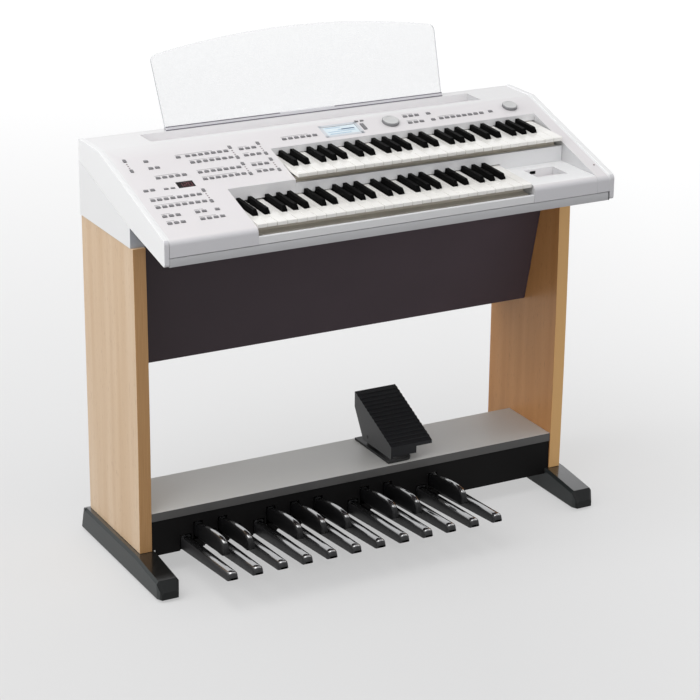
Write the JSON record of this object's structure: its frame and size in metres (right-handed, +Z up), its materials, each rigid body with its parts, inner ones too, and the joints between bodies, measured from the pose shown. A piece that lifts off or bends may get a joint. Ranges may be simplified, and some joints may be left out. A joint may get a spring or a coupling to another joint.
{
  "type": "electronic organ",
  "caption": "Console electronic organ with two offset manuals, a sloping control panel, a music rest, wooden side panels, a pedalboard and an expression pedal.",
  "frame": {"origin": "on the floor, under the centre of the bounding box", "axes": "+Z up, the player sits on the -Y side and faces +Y, +X is the player's right"},
  "size_m": [1.138, 0.5896, 1.1404],
  "materials": {
    "side_panels": "light beech veneer, satin",
    "feet": "dark slate grey, satin",
    "shelf": "grey, satin",
    "pedal_frame": "dark grey",
    "pedals": "gloss black",
    "treadle": "ribbed black",
    "knee_cloth": "matt dark aubergine",
    "drivers": "black",
    "white_case": "white, satin",
    "grey_case": "light grey, satin",
    "silver_trim": "silver paint",
    "natural_keys": "ivory white",
    "sharp_keys": "black, satin",
    "key_frames": "dark grey",
    "rest_plate": "frosted white, translucent",
    "buttons": "grey",
    "dials": "silver grey",
    "lcd": "pale blue screen",
    "led": "dark red window",
    "circuit": "green circuit board",
    "supply_can": "bare",
    "socket": "black"
  },
  "bodies": {
    "console": {"left_side_panel": "side_panels", "right_side_panel": "side_panels", "left_foot": "feet", "right_foot": "feet", "pedal_shelf": "shelf", "pedal_front_wall": "pedal_frame", "pedal_chassis": "pedal_frame", "expression_base": "feet", "knee_panel": "knee_cloth", "speaker_box": "knee_cloth", "left_speaker": "drivers", "right_speaker": "drivers", "bottom_case": "grey_case", "front_band": "silver_trim", "key_slip": "silver_trim", "left_arm": "white_case", "right_arm": "white_case", "control_panel": "white_case", "manual_fascia": "grey_case", "right_cheek": "white_case", "usb_port": "socket", "lower_key_frame": "key_frames", "upper_key_frame": "key_frames", "lcd_display": "lcd", "led_display": "led", "main_board": "circuit", "power_supply": "supply_can"},
    "pedal_c1_body": {"pedal_c1": "pedals"},
    "pedal_d1_body": {"pedal_d1": "pedals"},
    "pedal_e1_body": {"pedal_e1": "pedals"},
    "pedal_f1_body": {"pedal_f1": "pedals"},
    "pedal_g1_body": {"pedal_g1": "pedals"},
    "pedal_a1_body": {"pedal_a1": "pedals"},
    "pedal_b1_body": {"pedal_b1": "pedals"},
    "pedal_c2_body": {"pedal_c2": "pedals"},
    "pedal_d2_body": {"pedal_d2": "pedals"},
    "pedal_e2_body": {"pedal_e2": "pedals"},
    "pedal_f2_body": {"pedal_f2": "pedals"},
    "pedal_g2_body": {"pedal_g2": "pedals"},
    "pedal_c_sharp1_body": {"pedal_c_sharp1": "pedals"},
    "pedal_d_sharp1_body": {"pedal_d_sharp1": "pedals"},
    "pedal_f_sharp1_body": {"pedal_f_sharp1": "pedals"},
    "pedal_g_sharp1_body": {"pedal_g_sharp1": "pedals"},
    "pedal_a_sharp1_body": {"pedal_a_sharp1": "pedals"},
    "pedal_c_sharp2_body": {"pedal_c_sharp2": "pedals"},
    "pedal_d_sharp2_body": {"pedal_d_sharp2": "pedals"},
    "pedal_f_sharp2_body": {"pedal_f_sharp2": "pedals"},
    "lower_c_e_g_b_keys_body": {"lower_c_e_g_b_keys": "natural_keys"},
    "lower_d_f_a_keys_body": {"lower_d_f_a_keys": "natural_keys"},
    "lower_sharp_keys_body": {"lower_sharp_keys": "sharp_keys"},
    "upper_c_e_g_b_keys_body": {"upper_c_e_g_b_keys": "natural_keys"},
    "upper_d_f_a_keys_body": {"upper_d_f_a_keys": "natural_keys"},
    "upper_sharp_keys_body": {"upper_sharp_keys": "sharp_keys"},
    "treadle_body": {"expression_pedal": "treadle"},
    "rest_body": {"music_rest": "rest_plate", "music_rest_foot": "grey_case"},
    "data_dial_body": {"data_dial": "dials"},
    "tempo_dial_body": {"tempo_dial": "dials"},
    "left_buttons_body": {"left_button_set": "buttons"},
    "upper_buttons_body": {"upper_button_set": "buttons"}
  },
  "joints": [
    {"name": "pedal_c1_press", "type": "hinge", "parent": "console", "child": "pedal_c1_body", "pos_m": [-0.441, 0.11221, 0.084], "axis": [1, 0, 0], "range_deg": [0, 3.1], "stiffness_Nm_per_rad": 30, "springref_deg": -2.86},
    {"name": "pedal_d1_press", "type": "hinge", "parent": "console", "child": "pedal_d1_body", "pos_m": [-0.38, 0.11221, 0.084], "axis": [1, 0, 0], "range_deg": [0, 3.1], "stiffness_Nm_per_rad": 30, "springref_deg": -2.86},
    {"name": "pedal_e1_press", "type": "hinge", "parent": "console", "child": "pedal_e1_body", "pos_m": [-0.319, 0.11221, 0.084], "axis": [1, 0, 0], "range_deg": [0, 3.1], "stiffness_Nm_per_rad": 30, "springref_deg": -2.86},
    {"name": "pedal_f1_press", "type": "hinge", "parent": "console", "child": "pedal_f1_body", "pos_m": [-0.258, 0.11221, 0.084], "axis": [1, 0, 0], "range_deg": [0, 3.1], "stiffness_Nm_per_rad": 30, "springref_deg": -2.86},
    {"name": "pedal_g1_press", "type": "hinge", "parent": "console", "child": "pedal_g1_body", "pos_m": [-0.197, 0.11221, 0.084], "axis": [1, 0, 0], "range_deg": [0, 3.1], "stiffness_Nm_per_rad": 30, "springref_deg": -2.86},
    {"name": "pedal_a1_press", "type": "hinge", "parent": "console", "child": "pedal_a1_body", "pos_m": [-0.136, 0.11221, 0.084], "axis": [1, 0, 0], "range_deg": [0, 3.1], "stiffness_Nm_per_rad": 30, "springref_deg": -2.86},
    {"name": "pedal_b1_press", "type": "hinge", "parent": "console", "child": "pedal_b1_body", "pos_m": [-0.075, 0.11221, 0.084], "axis": [1, 0, 0], "range_deg": [0, 3.1], "stiffness_Nm_per_rad": 30, "springref_deg": -2.86},
    {"name": "pedal_c2_press", "type": "hinge", "parent": "console", "child": "pedal_c2_body", "pos_m": [-0.014, 0.11221, 0.084], "axis": [1, 0, 0], "range_deg": [0, 3.1], "stiffness_Nm_per_rad": 30, "springref_deg": -2.86},
    {"name": "pedal_d2_press", "type": "hinge", "parent": "console", "child": "pedal_d2_body", "pos_m": [0.047, 0.11221, 0.084], "axis": [1, 0, 0], "range_deg": [0, 3.1], "stiffness_Nm_per_rad": 30, "springref_deg": -2.86},
    {"name": "pedal_e2_press", "type": "hinge", "parent": "console", "child": "pedal_e2_body", "pos_m": [0.108, 0.11221, 0.084], "axis": [1, 0, 0], "range_deg": [0, 3.1], "stiffness_Nm_per_rad": 30, "springref_deg": -2.86},
    {"name": "pedal_f2_press", "type": "hinge", "parent": "console", "child": "pedal_f2_body", "pos_m": [0.169, 0.11221, 0.084], "axis": [1, 0, 0], "range_deg": [0, 3.1], "stiffness_Nm_per_rad": 30, "springref_deg": -2.86},
    {"name": "pedal_g2_press", "type": "hinge", "parent": "console", "child": "pedal_g2_body", "pos_m": [0.23, 0.11221, 0.084], "axis": [1, 0, 0], "range_deg": [0, 3.1], "stiffness_Nm_per_rad": 30, "springref_deg": -2.86},
    {"name": "pedal_c_sharp1_press", "type": "hinge", "parent": "console", "child": "pedal_c_sharp1_body", "pos_m": [-0.4105, 0.11221, 0.084], "axis": [1, 0, 0], "range_deg": [0, 3.1], "stiffness_Nm_per_rad": 30, "springref_deg": -2.86},
    {"name": "pedal_d_sharp1_press", "type": "hinge", "parent": "console", "child": "pedal_d_sharp1_body", "pos_m": [-0.3495, 0.11221, 0.084], "axis": [1, 0, 0], "range_deg": [0, 3.1], "stiffness_Nm_per_rad": 30, "springref_deg": -2.86},
    {"name": "pedal_f_sharp1_press", "type": "hinge", "parent": "console", "child": "pedal_f_sharp1_body", "pos_m": [-0.2275, 0.11221, 0.084], "axis": [1, 0, 0], "range_deg": [0, 3.1], "stiffness_Nm_per_rad": 30, "springref_deg": -2.86},
    {"name": "pedal_g_sharp1_press", "type": "hinge", "parent": "console", "child": "pedal_g_sharp1_body", "pos_m": [-0.1665, 0.11221, 0.084], "axis": [1, 0, 0], "range_deg": [0, 3.1], "stiffness_Nm_per_rad": 30, "springref_deg": -2.86},
    {"name": "pedal_a_sharp1_press", "type": "hinge", "parent": "console", "child": "pedal_a_sharp1_body", "pos_m": [-0.1055, 0.11221, 0.084], "axis": [1, 0, 0], "range_deg": [0, 3.1], "stiffness_Nm_per_rad": 30, "springref_deg": -2.86},
    {"name": "pedal_c_sharp2_press", "type": "hinge", "parent": "console", "child": "pedal_c_sharp2_body", "pos_m": [0.0165, 0.11221, 0.084], "axis": [1, 0, 0], "range_deg": [0, 3.1], "stiffness_Nm_per_rad": 30, "springref_deg": -2.86},
    {"name": "pedal_d_sharp2_press", "type": "hinge", "parent": "console", "child": "pedal_d_sharp2_body", "pos_m": [0.0775, 0.11221, 0.084], "axis": [1, 0, 0], "range_deg": [0, 3.1], "stiffness_Nm_per_rad": 30, "springref_deg": -2.86},
    {"name": "pedal_f_sharp2_press", "type": "hinge", "parent": "console", "child": "pedal_f_sharp2_body", "pos_m": [0.1995, 0.11221, 0.084], "axis": [1, 0, 0], "range_deg": [0, 3.1], "stiffness_Nm_per_rad": 30, "springref_deg": -2.86},
    {"name": "lower_c_e_g_b_keys_press", "type": "hinge", "parent": "console", "child": "lower_c_e_g_b_keys_body", "pos_m": [0.00205, -0.02362, 0.84712], "axis": [1, 0, 0], "range_deg": [0, 2.9], "stiffness_Nm_per_rad": 12, "springref_deg": -5.73},
    {"name": "lower_d_f_a_keys_press", "type": "hinge", "parent": "console", "child": "lower_d_f_a_keys_body", "pos_m": [0.00205, -0.02362, 0.84712], "axis": [1, 0, 0], "range_deg": [0, 2.9], "stiffness_Nm_per_rad": 12, "springref_deg": -5.73},
    {"name": "lower_sharp_keys_press", "type": "hinge", "parent": "console", "child": "lower_sharp_keys_body", "pos_m": [0.00205, -0.02362, 0.84712], "axis": [1, 0, 0], "range_deg": [0, 2.9], "stiffness_Nm_per_rad": 12, "springref_deg": -5.73},
    {"name": "upper_c_e_g_b_keys_press", "type": "hinge", "parent": "console", "child": "upper_c_e_g_b_keys_body", "pos_m": [0.16695, 0.11038, 0.90212], "axis": [1, 0, 0], "range_deg": [0, 2.9], "stiffness_Nm_per_rad": 12, "springref_deg": -5.73},
    {"name": "upper_d_f_a_keys_press", "type": "hinge", "parent": "console", "child": "upper_d_f_a_keys_body", "pos_m": [0.16695, 0.11038, 0.90212], "axis": [1, 0, 0], "range_deg": [0, 2.9], "stiffness_Nm_per_rad": 12, "springref_deg": -5.73},
    {"name": "upper_sharp_keys_press", "type": "hinge", "parent": "console", "child": "upper_sharp_keys_body", "pos_m": [0.16695, 0.11038, 0.90212], "axis": [1, 0, 0], "range_deg": [0, 2.9], "stiffness_Nm_per_rad": 12, "springref_deg": -5.73},
    {"name": "treadle_rock", "type": "hinge", "parent": "console", "child": "treadle_body", "pos_m": [0.141, 0.07021, 0.181], "axis": [1, 0, 0], "range_deg": [-20, 0]},
    {"name": "music_rest_lift", "type": "slide", "parent": "console", "child": "rest_body", "axis": [0, 0, 1], "range_m": [0, 0.016]},
    {"name": "data_dial_turn", "type": "hinge", "parent": "console", "child": "data_dial_body", "pos_m": [0.14906, 0.09533, 0.93756], "axis": [0, -0.2961, 0.9552], "continuous": true},
    {"name": "tempo_dial_turn", "type": "hinge", "parent": "console", "child": "tempo_dial_body", "pos_m": [0.46757, 0.09403, 0.93716], "axis": [0, -0.2961, 0.9552], "continuous": true},
    {"name": "left_buttons_press", "type": "slide", "parent": "console", "child": "left_buttons_body", "axis": [0, 0.2961, -0.9552], "range_m": [0, 0.0008], "stiffness_N_per_m": 2000, "springref_m": -0.002},
    {"name": "upper_buttons_press", "type": "slide", "parent": "console", "child": "upper_buttons_body", "axis": [0, 0.2961, -0.9552], "range_m": [0, 0.0008], "stiffness_N_per_m": 1000, "springref_m": -0.002}
  ]
}
